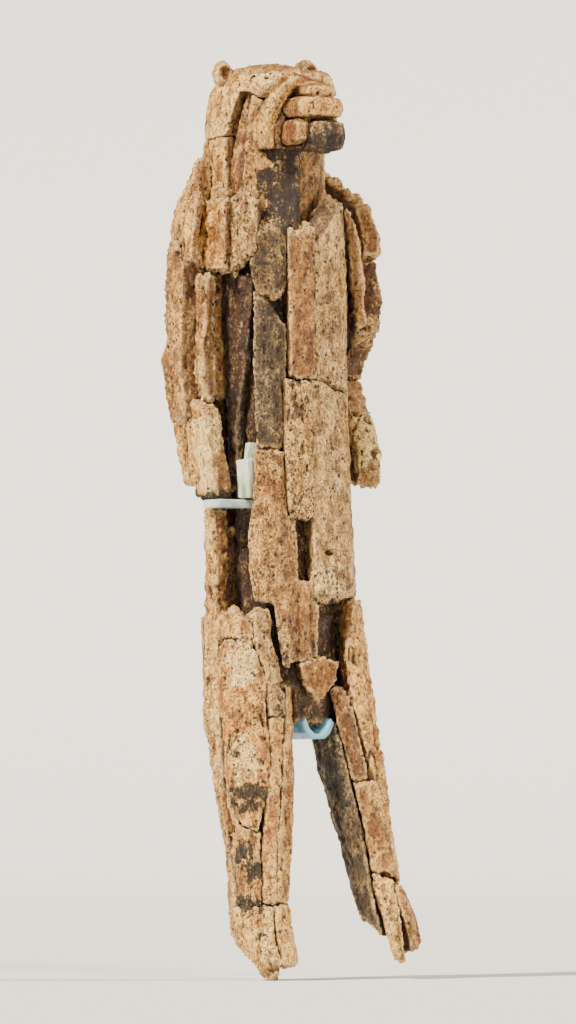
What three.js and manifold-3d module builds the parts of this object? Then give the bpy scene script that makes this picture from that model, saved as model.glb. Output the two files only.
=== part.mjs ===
// Lion-headed standing figure carved in mammoth ivory, put together from bonded fragments.
// Millimetres, +Z up. The figure faces -Y, so its right side is -X.
import * as THREE from "three";
import { mergeVertices } from "three/addons/utils/BufferGeometryUtils.js";
import Module from "manifold-3d";

const wasm = await Module();
wasm.setup();

// ---------------------------------------------------------------- driving dimensions

const SEAM = 0.18; // each fragment's share of the open joint beside it
const CLEARANCE = 0.3; // joint cut round a fragment that lies across another
const GRAIN = 0.16; // unevenness of a weathered face
const RAGGED_END = 0.6; // unevenness of a broken end
const LEAST_RADIUS = 1.2; // no fragment reaches the axis of its limb
const RADIANS = Math.PI / 180;

// ---------------------------------------------------------------- solids

function solidOf(geometry) {
  const bare = new THREE.BufferGeometry();
  bare.setAttribute("position", geometry.getAttribute("position"));
  if (geometry.index) bare.setIndex(geometry.index);
  const merged = mergeVertices(bare, 1e-3);
  const mesh = new wasm.Mesh({
    numProp: 3,
    vertProperties: new Float32Array(merged.attributes.position.array),
    triVerts: new Uint32Array(merged.index.array),
  });
  const solid = new wasm.Manifold(mesh);
  if (solid.volume() < 0) throw new Error("a fragment is inside out");
  return solid;
}

function geometryOf(solid) {
  const mesh = solid.getMesh();
  const geometry = new THREE.BufferGeometry();
  const positions = new Float32Array(mesh.vertProperties);
  geometry.setAttribute("position", new THREE.BufferAttribute(positions, 3));
  geometry.setIndex(new THREE.BufferAttribute(new Uint32Array(mesh.triVerts), 1));
  return geometry;
}

function closedSolid(points, faces) {
  const geometry = new THREE.BufferGeometry();
  const positions = new Float32Array(points.flat());
  geometry.setAttribute("position", new THREE.BufferAttribute(positions, 3));
  geometry.setIndex(faces.flat());
  return solidOf(geometry);
}

function quad(a, b, c, d) {
  return [
    [a, b, c],
    [a, c, d],
  ];
}

// Repeatable unevenness between -1 and 1.
function uneven(seed, i, j) {
  const wave = Math.sin(seed * 127.1 + i * 311.7 + j * 74.7) * 43758.5453;
  return 2 * (wave - Math.floor(wave)) - 1;
}

// A value that is a number, or a list of numbers spread evenly from 0 to 1.
function along(values, t) {
  if (typeof values === "number") return values;
  const place = t * (values.length - 1);
  const k = Math.min(Math.floor(place), values.length - 2);
  return values[k] + (values[k + 1] - values[k]) * (place - k);
}

// ---------------------------------------------------------------- forms

// A rounded column given by level sections: height, centre x, centre y, half width, half depth.
class Form {
  constructor(power, sections) {
    this.power = power;
    this.sections = sections;
  }

  section(z) {
    const rows = this.sections;
    const last = rows.length - 2;
    let k = 0;
    while (k < last && z > rows[k + 1][0]) k += 1;
    const t = THREE.MathUtils.clamp((z - rows[k][0]) / (rows[k + 1][0] - rows[k][0]), 0, 1);
    return rows[k].slice(1).map((value, i) => value + (rows[k + 1][i + 1] - value) * t);
  }

  // Angles run from the front (0) round the figure's right side (90) to the back (180).
  reach(angle, z) {
    const [, , halfWidth, halfDepth] = this.section(z);
    const across = Math.abs(Math.sin(angle * RADIANS) / halfWidth) ** this.power;
    const deep = Math.abs(Math.cos(angle * RADIANS) / halfDepth) ** this.power;
    return (across + deep) ** (-1 / this.power);
  }

  point(angle, z, inset) {
    const [x, y] = this.section(z);
    const radius = Math.max(this.reach(angle, z) - inset, LEAST_RADIUS);
    return [x - radius * Math.sin(angle * RADIANS), y - radius * Math.cos(angle * RADIANS), z];
  }
}

const TORSO = new Form(2.8, [
  [84, 1.5, -10, 9, 9],
  [97, 0.5, -7.5, 20, 14.5],
  [110, -0.5, -6, 25, 17.5],
  [128, 0, -4.5, 24.5, 18.5],
  [160, 0, -2, 24, 18.5],
  [200, 0.5, 0.5, 23.5, 18.2],
  [240, 0, 1.5, 24, 19],
  [262, 0, 2, 22.5, 19],
  [278, 0, 3.5, 20, 19.5],
]);

const NECK = new Form(2.4, [
  [240, 0, 4, 18.5, 18.5],
  [262, 0, 6, 20, 19.5],
  [279, 0, 6.6, 20.4, 20],
  [288, 0, 6.2, 20, 20],
  [296, 0, 5.8, 20, 19.8],
  [303, 0, 5.4, 19.2, 19.2],
]);

const ARMS = new Form(2, [
  [160, 0, -3.5, 32, 35],
  [170, 0, -3, 34, 37],
  [190, 0, -1.5, 35, 40],
  [203, 0, -0.5, 36.4, 45],
  [215, 0, 0, 36, 43.5],
  [232, 0, 1, 35.4, 40],
  [251, 0, 1, 34.2, 37],
  [262, 0, 2, 31.8, 34],
  [270, 0, 2.5, 28.5, 29.5],
  [279, 0, 3, 24.5, 25],
]);

const LEG_RIGHT = new Form(2.3, [
  [-1, -20.5, -26.6, 2.6, 4],
  [2, -20.7, -26.6, 5, 8.5],
  [6, -21, -25.8, 7.2, 12],
  [13, -21.5, -21.6, 8.8, 13.5],
  [22, -21.5, -19.6, 9.2, 12.5],
  [30, -21, -19.2, 8.6, 11],
  [44, -20, -16.3, 10, 12.8],
  [61, -19, -13.2, 11.8, 15],
  [78, -18, -9.1, 13, 16.5],
  [95, -17, -5.8, 13.6, 17],
  [118, -16.5, -3.5, 12.8, 16.5],
  [162, -15.5, -2, 12.3, 14.5],
]);

const LEG_LEFT = new Form(2.3, [
  [5, 30, -30.2, 4.5, 5],
  [8, 29.6, -29.5, 6.8, 7.5],
  [20, 26.4, -26.2, 8, 11.5],
  [30, 25, -22, 7.8, 9.6],
  [44, 23.4, -19.4, 8.3, 9.8],
  [61, 21, -16.2, 9.5, 11],
  [78, 19, -13.5, 10.5, 12.5],
  [95, 17, -9.9, 11.5, 13.8],
  [118, 15, -6, 12, 15],
  [132, 14, -5, 12, 15],
]);

// ---------------------------------------------------------------- fragment shapes

// A stave of a form. "angles" is [from, to], each a number or a list from the bottom up.
// "heights" is [bottom, top], each a number or a list across the stave.
// "skin" is how far its outer face lies inside the form and "deep" how thick it is.
// "rake" lowers or lifts the inner edge of each end.
function stave(shape, grow) {
  const { form, angles, heights, skin = 0, deep = 6, seed, columns = 4, rows = 8 } = shape;
  const { end = RAGGED_END, rake = [0, 0] } = shape;
  const layer = (inner) => {
    const points = [];
    for (let j = 0; j <= rows; j += 1) {
      for (let i = 0; i <= columns; i += 1) {
        const up = j / rows;
        const over = i / columns;
        const side = (i === columns ? 1 : 0) - (i === 0 ? 1 : 0);
        const cap = (j === rows ? 1 : 0) - (j === 0 ? 1 : 0);
        const low = along(heights[0], over);
        const high = along(heights[1], over);
        const slope = inner && cap ? rake[(cap + 1) / 2] : 0;
        const torn = cap ? end * uneven(seed, i, cap) : 0;
        const z = low + (high - low) * up + cap * (grow - SEAM) + torn + slope;
        const turn = along(angles[0], up) * (1 - over) + along(angles[1], up) * over;
        const angle = turn + (side * (grow - SEAM)) / (form.reach(turn, z) * RADIANS);
        const inset = along(skin, up) + (inner ? along(deep, up) + grow : -grow);
        const grain = inner ? 0 : GRAIN * uneven(seed + 1, i, j);
        points.push(form.point(angle, z, inset + grain));
      }
    }
    return points;
  };
  return closedSolid([...layer(false), ...layer(true)], staveFaces(columns, rows));
}

// Faces between two (columns x rows) grids of points, the outer grid first.
function staveFaces(columns, rows) {
  const wide = columns + 1;
  const at = (i, j, inner) => inner * wide * (rows + 1) + j * wide + i;
  const faces = [];
  for (let j = 0; j < rows; j += 1) {
    const k = j + 1;
    for (let i = 0; i < columns; i += 1) {
      faces.push(...quad(at(i, j, 0), at(i, k, 0), at(i + 1, k, 0), at(i + 1, j, 0)));
      faces.push(...quad(at(i, j, 1), at(i + 1, j, 1), at(i + 1, k, 1), at(i, k, 1)));
    }
    const far = columns;
    faces.push(...quad(at(0, j, 0), at(0, j, 1), at(0, k, 1), at(0, k, 0)));
    faces.push(...quad(at(far, j, 0), at(far, k, 0), at(far, k, 1), at(far, j, 1)));
  }
  for (let i = 0; i < columns; i += 1) {
    const k = i + 1;
    faces.push(...quad(at(i, 0, 0), at(k, 0, 0), at(k, 0, 1), at(i, 0, 1)));
    faces.push(...quad(at(i, rows, 0), at(i, rows, 1), at(k, rows, 1), at(k, rows, 0)));
  }
  return faces;
}

// A free rod through level sections: height, x, y, half width, half depth.
// "power" squares the corners of the sections.
function rod(shape, grow) {
  const { sections, power = 2.4, around = 12, seed, grain = GRAIN } = shape;
  const last = sections.length - 1;
  const points = [];
  sections.forEach(([z, x, y, halfWidth, halfDepth], j) => {
    const cap = (j === last ? 1 : 0) - (j === 0 ? 1 : 0);
    for (let i = 0; i < around; i += 1) {
      const angle = (i / around) * 2 * Math.PI;
      const c = Math.cos(angle);
      const s = Math.sin(angle);
      const reach = (Math.abs(c) ** power + Math.abs(s) ** power) ** (-1 / power);
      const out = grow + grain * uneven(seed, i, j);
      points.push([x + reach * c * (halfWidth + out), y + reach * s * (halfDepth + out), z + cap * grow]);
    }
  });
  const low = points.length;
  points.push(centreOf(points.slice(0, around)), centreOf(points.slice(-around)));
  const faces = [];
  for (let i = 0; i < around; i += 1) {
    const k = (i + 1) % around;
    for (let j = 0; j < last; j += 1) {
      const ring = j * around;
      const next = ring + around;
      faces.push(...quad(ring + i, ring + k, next + k, next + i));
    }
    faces.push([low, k, i]);
    faces.push([low + 1, last * around + i, last * around + k]);
  }
  return closedSolid(points, faces);
}

function centreOf(points) {
  const sum = points.reduce((total, point) => total.map((value, axis) => value + point[axis]));
  return sum.map((value) => value / points.length);
}

// A rounded lump: power 2 is an ellipsoid, a higher power squares it.
function lump({ centre, half, power = 2, tilt = 0, turn = 0, detail = [8, 6] }, grow = 0) {
  const geometry = new THREE.SphereGeometry(1, ...detail);
  geometry.rotateX(Math.PI / 2);
  const places = geometry.getAttribute("position");
  for (let i = 0; i < places.count; i += 1) {
    const way = [places.getX(i), places.getY(i), places.getZ(i)];
    const sum = way.reduce((total, value) => total + Math.abs(value) ** power, 0);
    const reach = sum ** (-1 / power);
    places.setXYZ(i, ...way.map((value, axis) => value * reach * (half[axis] + grow)));
  }
  geometry.rotateX(tilt * RADIANS);
  geometry.rotateZ(turn * RADIANS);
  geometry.translate(...centre);
  return solidOf(geometry);
}

function block({ centre, size, turns = [0, 0, 0] }, grow = 0) {
  const geometry = new THREE.BoxGeometry(...size.map((value) => value + 2 * grow));
  geometry.rotateX(turns[0] * RADIANS);
  geometry.rotateY(turns[1] * RADIANS);
  geometry.rotateZ(turns[2] * RADIANS);
  geometry.translate(...centre);
  return solidOf(geometry);
}

const union = (...solids) => solids.reduce((sum, next) => sum.add(next));

function largest(solid) {
  const bodies = solid.decompose();
  return bodies.reduce((best, next) => (next.volume() > best.volume() ? next : best));
}

// ---------------------------------------------------------------- head

const SKULL = { centre: [0, 4.4, 294.8], half: [18.6, 18.8, 13.8], power: 2.8, detail: [16, 10] };
const EAR = { x: 17.2, y: 8, z: [305, 307.3], half: [4.5, 3.4, 4.7] };
const CROWN_BASE = 298.8; // the crown's lower break over the muzzle
const CHIN = 277.6; // underside of the jaw
const MOUTH = 288.2; // height of the mouth slit
const MOUTH_SLIT = 0.7;
const MUZZLE_FRONT = -29.6;

// The top of the mane, one piece with the crown down to an old break at the back of the neck.
const MANE_TOP = {
  form: NECK,
  angles: [[77, 62], 296],
  heights: [[284, 282.6, 284.4, 283], 300],
  skin: [0, 0, 0.6],
  deep: 12,
  seed: 10,
  columns: 8,
  rows: 3,
};

function crown(grow) {
  const sides = [-1, 1].flatMap((side, k) => [
    lump({ centre: [side * EAR.x, EAR.y, EAR.z[k]], half: EAR.half, turn: side * -32 }, grow),
    lump({ centre: [side * 7.6, -11.2, 303], half: [6.6, 5.8, 3.2], turn: side * 22 }, grow),
  ]);
  const eyes = [-1, 1].map((side) =>
    lump({ centre: [side * 11.8, -10, 300], half: [6, 4.4, 4.6], turn: side * 40 }, grow),
  );
  const solid = union(lump(SKULL, grow), ...sides);
  const below = { centre: [0, 4, CROWN_BASE - 40 - grow], size: [90, 90, 80], turns: [3, 0, 0] };
  const trimmed = union(solid.subtract(block(below)), stave(MANE_TOP, grow), ...eyes);
  if (grow) return trimmed;
  const dishes = [-1, 1].map((side, k) => {
    const x = side * (EAR.x + 0.6);
    return lump({ centre: [x, EAR.y - 3.1, EAR.z[k] + 0.4], half: [2.7, 2.6, 2.8] });
  });
  return trimmed.subtract(union(...dishes));
}

function cheekBand(grow) {
  const path = [
    [278.8, -12.6, -11.6, 2.9, 3],
    [282, -13.5, -11.4, 3.9, 4],
    [286.5, -13.5, -11.8, 4.1, 4.2],
    [291.5, -12.2, -13.4, 4, 4.2],
    [296, -10.4, -15.8, 3.7, 4],
    [300, -8.8, -18.4, 3, 3.6],
    [302.6, -7.6, -20, 1.9, 2.4],
  ];
  return rod({ sections: path, power: 2, around: 10, seed: 71, grain: 0.1 }, grow);
}

function noseBridge(grow) {
  return lump({ centre: [0, -14.8, 299.4], half: [4.8, 9, 3.9], power: 2.8, tilt: 22 }, grow);
}

function nosePad(grow) {
  const pad = { centre: [0.2, -23.4, 297.6], half: [6.6, 4.5, 2.7], power: 2.6, tilt: 8 };
  const solid = lump({ ...pad, detail: [12, 7] }, grow);
  if (grow) return solid;
  const nostrils = [-1, 1].map((side) =>
    lump({ centre: [0.2 + side * 2.6, MUZZLE_FRONT + 2.1, 296.2], half: [1, 1.4, 1.6] }),
  );
  return solid.subtract(union(...nostrils));
}

function upperLip(grow) {
  const lift = MOUTH + MOUTH_SLIT / 2;
  const lip = { centre: [0, -21, lift + 3.6], half: [9.4, 8.8, 3.8], power: 4 };
  const solid = lump({ ...lip, detail: [12, 7] }, grow);
  if (grow) return solid;
  const corner = block({ centre: [-8, -30.2, lift + 2], size: [3, 6.4, 9], turns: [0, 0, -38] });
  return solid.subtract(corner);
}

function jawFront(grow) {
  const height = MOUTH - MOUTH_SLIT / 2 - CHIN;
  const jaw = { centre: [1.8, -24.6, CHIN + height / 2], half: [7.2, 5.2, height / 2], power: 4 };
  const solid = lump({ ...jaw, detail: [12, 7] }, grow);
  if (grow) return solid;
  const worn = lump({ centre: [1.6, -31.6, CHIN + 2.2], half: [7, 3.2, 4], power: 2.8 });
  return solid.subtract(worn);
}

function jawSide(grow) {
  const jaw = { centre: [-7.2, -19.6, 283.9], half: [2.6, 7.6, 4.1], power: 4, turn: -3 };
  return lump(jaw, grow);
}

function muzzleCore(grow) {
  const jaw = { centre: [0, -16, 286.6], size: [13.4, 18, 17] };
  const cheeks = [-1, 1].map((side) =>
    lump({ centre: [side * 9.4, -9.6, 287], half: [6, 8, 12], power: 2.4 }, grow),
  );
  const solid = union(block(jaw, grow), ...cheeks);
  return solid.subtract(block({ centre: [0, -12, CHIN + 0.8 - 10 - grow], size: [60, 60, 20] }));
}

// ---------------------------------------------------------------- clear supports

const SADDLE = { x: 2.6, y: -4.5, depth: 16, thick: 1.8, underside: 80 };

// A bent strip of clear sheet under the crotch: flat below, with a flared wing on each side.
function crotchSaddle(grow) {
  const wing = [
    [2.6, 0],
    [5, 1.9],
    [6.6, 5.4],
  ];
  const { x, y, depth, thick, underside } = SADDLE;
  const tip = wing.length - 1;
  const outer = wing.map(([across, up], k) => [across + grow, k === tip ? up + grow : up - grow]);
  const inner = wing.map(([across, up]) => [across - thick * 0.8 - grow, up + thick + grow]);
  const half = [...outer, ...inner.reverse()];
  const mirrored = half.map(([across, up]) => [-across, up]).reverse();
  const shape = new THREE.Shape([...half, ...mirrored].map((place) => new THREE.Vector2(...place)));
  const length = depth + 2 * grow;
  const geometry = new THREE.ExtrudeGeometry(shape, { depth: length, bevelEnabled: false });
  geometry.rotateX(Math.PI / 2);
  geometry.translate(x, y + grow, underside);
  return solidOf(geometry);
}

const SHELF = { centre: [-22.4, -5, 158.9], size: [16.8, 10, 2.8] };
const HAND_BLOCK = [
  { centre: [-18.2, -9.4, 167.4], size: [6.4, 5.4, 13], turns: [0, -4, 12] },
  { centre: [-16.8, -9, 175.4], size: [3.8, 4.6, 8], turns: [0, 6, -8] },
];

function handBlock(grow) {
  return union(...HAND_BLOCK.map((piece) => block(piece, grow)));
}

// ---------------------------------------------------------------- fragments

// The abdomen is one fragment: a wide upper panel and a lower one that runs under the belly.
const ABDOMEN = [
  {
    form: TORSO,
    angles: [19.5, [61, 65, 66, 61, 58, 57]],
    heights: [[127, 124.6, 126], [176, 177, 177.5]],
    skin: 0.6,
    deep: 6.5,
    seed: 41,
    columns: 5,
    rows: 6,
  },
  {
    form: TORSO,
    angles: [-6, [41, 44, 47]],
    heights: [[106, 106, 104], [133.4, 134]],
    skin: 0.6,
    deep: 6.5,
    seed: 42,
    columns: 5,
    rows: 3,
  },
];

// Earlier fragments keep their shape; each later one is cut back to leave the joint open.
const FRAGMENTS = [
  ["crotch_saddle", "acrylic_clear", crotchSaddle],
  ["forearm_shelf", "acrylic_clear", (grow) => block(SHELF, grow)],

  ["nose_pad", "ivory_light", nosePad],
  ["upper_lip", "ivory_light", upperLip],
  ["jaw_front", "ivory_tan", jawFront],
  ["jaw_side", "ivory_tan", jawSide],
  ["cheek_band", "ivory_tan", cheekBand],
  ["nose_bridge", "ivory_tan", noseBridge],
  [
    "mane_strip",
    "ivory_russet",
    { form: NECK, angles: [[61, 59, 55, 50, 49], [77, 78, 76, 66, 53]], heights: [248, 303.5] },
    { skin: 2.2, deep: 8, end: 0.2 },
  ],
  ["head_crown", "ivory_light", crown],
  [
    "throat_right",
    "ivory_speckled",
    { form: NECK, angles: [-2, [62, 60, 56, 50]], heights: [244, [279, 281, 292, 299]] },
    { deep: 14, columns: 5, rows: 6 },
  ],
  [
    "throat_left",
    "ivory_tan",
    { form: NECK, angles: [-64, -2], heights: [244, [288, 281, 279]] },
    { skin: [7, 4.8, 0.9], deep: 10, columns: 4, rows: 5 },
  ],
  [
    "mane_right",
    "ivory_light",
    { form: NECK, angles: [[77, 78, 77], 128], heights: [252, [284, 283.3]] },
    { deep: 10, columns: 4, rows: 5 },
  ],
  [
    "mane_left",
    "ivory_light",
    { form: NECK, angles: [128, 296], heights: [[250, 252, 256], [283, 284, 283]] },
    { skin: 0.4, deep: 12, columns: 8, rows: 3 },
  ],
  ["muzzle_core", "ivory_brown", muzzleCore],

  [
    "chest_left",
    "ivory_tan",
    { form: TORSO, angles: [-56, -10.2], heights: [[198, 198.8, 200.6, 202.2], [262, 259, 252, 246.5]] },
    { deep: 6.5, columns: 5, rake: [0, 5.5], end: 0.5 },
  ],
  [
    "chest_middle",
    "ivory_russet",
    { form: TORSO, angles: [-10.2, 22.6], heights: [201.5, [253, 249, 251]] },
    { skin: -0.5, deep: 6, rake: [0, 3] },
  ],
  [
    "belly_middle",
    "ivory_speckled",
    { form: TORSO, angles: [[-1, -3, -3], [28.8, 30.5, 29]], heights: [[154.4, 153.4, 155], 200.5] },
    { skin: -0.9, deep: 4.5, rake: [-0.8, 0], end: 0.4 },
  ],
  [
    "belly_left",
    "ivory_tan",
    { form: TORSO, angles: [-57, [2, 0, -3]], heights: [[129, 127, 126.5], [197.2, 198, 200, 201.8]] },
    { deep: 5.5, columns: 6, rake: [-2.6, 0], end: 0.4 },
  ],
  [
    "chest_right_chip",
    "ivory_speckled",
    { form: TORSO, angles: [23, [53, 57, 51]], heights: [[231, 228, 230], [248, 252, 250]] },
    { skin: 0.3, deep: 5, rows: 5, rake: [0, 5], end: 0.6 },
  ],
  [
    "flank_right",
    "ivory_speckled",
    { form: TORSO, angles: [[29, 26, 23], [57, 58.5, 56]], heights: [177.8, [219, 222, 229, 231]] },
    { skin: 2.2, deep: 6 },
  ],
  [
    "abdomen_right",
    "ivory_brown",
    (grow) => union(...ABDOMEN.map((panel) => stave(panel, grow))),
  ],
  [
    "pubic_plate",
    "ivory_russet",
    { form: TORSO, angles: [-33, [17, 25]], heights: [[98, 91.5, 99], [107, 108, 105.5]] },
    { skin: 0.2, deep: 6, rows: 4 },
  ],
  [
    "shoulder_tab_inner",
    "ivory_speckled",
    { form: TORSO, angles: [[50, 46.5], 77], heights: [[242, 240, 235.5], [262, 264, 262.5]] },
    { skin: -0.4, deep: 5.5, rows: 5, rake: [0, 1.5] },
  ],
  [
    "shoulder_tab_outer",
    "ivory_light",
    { form: TORSO, angles: [72, 104], heights: [238, 261.5] },
    { skin: -4, deep: 8, rows: 5 },
  ],
  [
    "side_lamella_right",
    "ivory_light",
    { form: TORSO, angles: [[101, 100, 99, 82], 120], heights: [196, [265, 271, 275]] },
    { skin: 0.4, deep: 5 },
  ],
  [
    "inner_lamella_right",
    "ivory_dark",
    { form: TORSO, angles: [[79, 78, 62, 56], [96, 97, 99, 100]], heights: [164, 237] },
    { skin: 3.6, deep: 4 },
  ],
  ["hand_block", "filler_white", handBlock],

  [
    "shoulder_right_front",
    "ivory_tan",
    { form: ARMS, angles: [91, 104], heights: [241, [262, 266]] },
    { skin: 0.6, deep: 3.8, rows: 5, columns: 3 },
  ],
  [
    "shoulder_right_outer",
    "ivory_light",
    { form: ARMS, angles: [[104, 104, 106, 112], 131], heights: [249, 276.5] },
    { deep: [9, 7], rows: 6 },
  ],
  [
    "upper_arm_right",
    "ivory_light",
    { form: ARMS, angles: [99, 130], heights: [188, [249, 248.6]] },
    { deep: [7, 7, 7, 7, 10.5, 10.5], rows: 10 },
  ],
  [
    "arm_right_front_slat",
    "ivory_tan",
    { form: ARMS, angles: [[90, 88, 86, 86], [97, 99, 101, 101]], heights: [194, [236, 238]] },
    { skin: 5, deep: 4.4, columns: 3 },
  ],
  [
    "forearm_right_front",
    "ivory_light",
    { form: ARMS, angles: [[80, 82, 86], [107, 108, 105]], heights: [161, [192, 194.5, 192]] },
    { skin: 1.4, deep: 8, rake: [-1.6, 0], rows: 6 },
  ],
  [
    "forearm_right_back",
    "ivory_russet",
    { form: ARMS, angles: [[107, 108, 106], 128], heights: [[165, 168], 187.7] },
    { skin: 0.4, deep: 7, rows: 5 },
  ],
  [
    "shoulder_left",
    "ivory_light",
    { form: ARMS, angles: [-124, -60], heights: [244, [262, 270, 274, 269.5, 266, 260]] },
    { deep: 5, columns: 8, rows: 5 },
  ],
  [
    "arm_left_slat",
    "ivory_light",
    { form: ARMS, angles: [-64, -57], heights: [220, 260] },
    { skin: 7, deep: 3, columns: 2 },
  ],
  [
    "upper_arm_left",
    "ivory_brown",
    { form: ARMS, angles: [-122, [-94, -82, -63, -62, -62]], heights: [204, 243.5] },
    { deep: 7.5, columns: 5 },
  ],
  [
    "forearm_left",
    "ivory_light",
    { form: ARMS, angles: [-118, [-66, -64, -74, -87, -96]], heights: [[169, 166], 204] },
    { deep: 8, columns: 5, rows: 7 },
  ],

  [
    "thigh_right_cap",
    "ivory_light",
    { form: LEG_RIGHT, angles: [22, 84], heights: [113.4, [120, 123.5, 121]] },
    { deep: 7, rows: 3 },
  ],
  [
    "thigh_right_front",
    "ivory_light",
    {
      form: LEG_RIGHT,
      angles: [[31, 17, 9, 9, 10, 10, 26], [90, 86, 78, 80, 81, 81, 76]],
      heights: [[49, 51, 56], 113],
    },
    { deep: 8, columns: 5, rows: 12 },
  ],
  [
    "thigh_right_inner",
    "ivory_tan",
    {
      form: LEG_RIGHT,
      angles: [[-20, -16, -12, -4, 1], [8, 9, 14, 28, 36]],
      heights: [87.5, [124, 122.5, 121]],
    },
    { skin: 0.3, deep: 7, columns: 3 },
  ],
  [
    "leg_right_outer_slat",
    "ivory_light",
    {
      form: LEG_RIGHT,
      angles: [[112, 96, 80, 81, 86, 92], [128, 130, 131, 131, 130, 126]],
      heights: [47, 160],
    },
    { skin: 1, deep: 5.5, rows: 12 },
  ],
  [
    "calf_right_middle",
    "ivory_tan",
    { form: LEG_RIGHT, angles: [[2, 0, -5, -12, -18], [27, 27, 20, 12, 6]], heights: [25, 87] },
    { skin: 0.5, deep: 7, columns: 3 },
  ],
  [
    "calf_right_inner",
    "ivory_light",
    { form: LEG_RIGHT, angles: [-64, [2, 0, -5, -12, -22]], heights: [25, [96, 98]] },
    { deep: 7, rows: 10 },
  ],
  [
    "shin_right_front",
    "ivory_brown",
    { form: LEG_RIGHT, angles: [27, [104, 98, 91]], heights: [24, [49, 51, 56]] },
    { skin: 0.9, deep: 7, rows: 5, columns: 5 },
  ],
  [
    "foot_right_main",
    "ivory_light",
    { form: LEG_RIGHT, angles: [[14, 12, 8], [80, 122, 125]], heights: [-0.5, [24, 25, 23]] },
    { deep: 12, columns: 6 },
  ],
  [
    "foot_right_toe",
    "ivory_light",
    { form: LEG_RIGHT, angles: [-78, [14, 12, 8]], heights: [[6, 4.5], 25] },
    { deep: 10, rows: 6 },
  ],
  [
    "leg_right_back",
    "ivory_tan",
    { form: LEG_RIGHT, angles: [[100, 106, 130, 130, 131, 130], 296], heights: [[7, 12, 12, 8], 122] },
    { skin: 0.4, deep: 11, columns: 6, rows: 9 },
  ],

  [
    "leg_left_inner_slat",
    "ivory_tan",
    { form: LEG_LEFT, angles: [[60, 44, 37, 40, 44], 132], heights: [[13, 17, 22], 86] },
    { deep: 7, columns: 5, rows: 10 },
  ],
  [
    "thigh_left_middle",
    "ivory_brown",
    { form: LEG_LEFT, angles: [[8, 11, 15], [39, 42, 43]], heights: [66.2, [95.5, 98.5, 96.5]] },
    { skin: -0.3, deep: 7, columns: 3, rows: 6 },
  ],
  [
    "shin_left_middle",
    "ivory_tan",
    { form: LEG_LEFT, angles: [[-27, -20, -12], [38, 34, 37]], heights: [[33, 36], 65.9] },
    { deep: 7, rows: 6 },
  ],
  [
    "leg_left_outer_slat",
    "ivory_light",
    {
      form: LEG_LEFT,
      angles: [[-72, -72, -66, -64, -68], [-28, -14, -1, 12, 14, -14]],
      heights: [31, [124, 128, 127]],
    },
    { skin: 0.2, deep: 6.5, rows: 14 },
  ],
  [
    "foot_left_main",
    "ivory_light",
    { form: LEG_LEFT, angles: [[22, 8, -8], [60, 44, 38]], heights: [5.2, [32.8, 36]] },
    { skin: -0.3, deep: 10, rows: 6 },
  ],
  [
    "foot_left_outer",
    "ivory_light",
    { form: LEG_LEFT, angles: [[-70, -84], [4, 6, -8]], heights: [[12, 8.5], [28, 32]] },
    { skin: -0.4, deep: 8, rows: 5 },
  ],
  [
    "leg_left_back",
    "ivory_brown",
    { form: LEG_LEFT, angles: [132, 288], heights: [[20, 14], [122, 126]] },
    { skin: 0.5, deep: 8, columns: 6, rows: 8 },
  ],

  [
    "back_right",
    "ivory_tan",
    { form: TORSO, angles: [120, 178], heights: [149.2, [268, 270, 266]] },
    { deep: 6, columns: 5, rows: 6 },
  ],
  [
    "back_left",
    "ivory_light",
    { form: TORSO, angles: [178, 246], heights: [146, [266, 262, 268]] },
    { skin: 0.3, deep: 6, columns: 5, rows: 6 },
  ],
  [
    "flank_left",
    "ivory_tan",
    { form: TORSO, angles: [-114, -57], heights: [[120, 121, 127, 128], [262, 264]] },
    { skin: 0.4, deep: 6, columns: 4, rows: 7 },
  ],
  [
    "hip_back",
    "ivory_tan",
    { form: TORSO, angles: [118, 246], heights: [[127, 100, 92, 100, 121], [152, 152, 149, 147]] },
    { skin: 0.4, deep: 8, columns: 8, rows: 4 },
  ],
  [
    "torso_core",
    "ivory_dark",
    {
      sections: [
        [84.8, 2, -10.5, 9, 8.5],
        [92, 1.5, -9.5, 12.5, 10],
        [105, 0, -7, 16, 11.2],
        [128, 0, -4.5, 17.2, 12],
        [160, 0.5, -2, 16.8, 12.2],
        [243, 1, 2, 16.2, 12.4],
      ],
      around: 14,
    },
  ],
];

const COLOURS = {
  ivory_light: 0xd8bf93,
  ivory_tan: 0xbd9f74,
  ivory_speckled: 0xa88d66,
  ivory_russet: 0xa5713f,
  ivory_brown: 0x8a6a48,
  ivory_dark: 0x4a342a,
  filler_white: 0xe6ead8,
  acrylic_clear: 0xbfe3ee,
};

function materialOf(slot) {
  const clear = slot === "acrylic_clear";
  return new THREE.MeshStandardMaterial({
    name: slot,
    color: COLOURS[slot],
    roughness: clear ? 0.15 : 0.62,
    metalness: 0,
    transparent: clear,
    opacity: clear ? 0.5 : 1,
  });
}

function shapeOf(make, details, seed, grow) {
  if (typeof make === "function") return make(grow);
  const shape = { seed, ...make, ...details };
  return shape.sections ? rod(shape, grow) : stave(shape, grow);
}

function apart(a, b) {
  const [p, q] = [a.boundingBox(), b.boundingBox()];
  return [0, 1, 2].some((axis) => p.min[axis] > q.max[axis] || q.min[axis] > p.max[axis]);
}

function buildFigure() {
  const figure = new THREE.Group();
  const cleared = [];
  FRAGMENTS.forEach(([name, slot, make, details], order) => {
    let solid = shapeOf(make, details, order + 1, 0);
    for (const earlier of cleared) {
      if (!apart(solid, earlier)) solid = solid.subtract(earlier);
    }
    cleared.push(shapeOf(make, details, order + 1, CLEARANCE));
    const mesh = new THREE.Mesh(geometryOf(largest(solid)), materialOf(slot));
    mesh.name = name;
    figure.add(mesh);
  });
  return figure;
}

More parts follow.
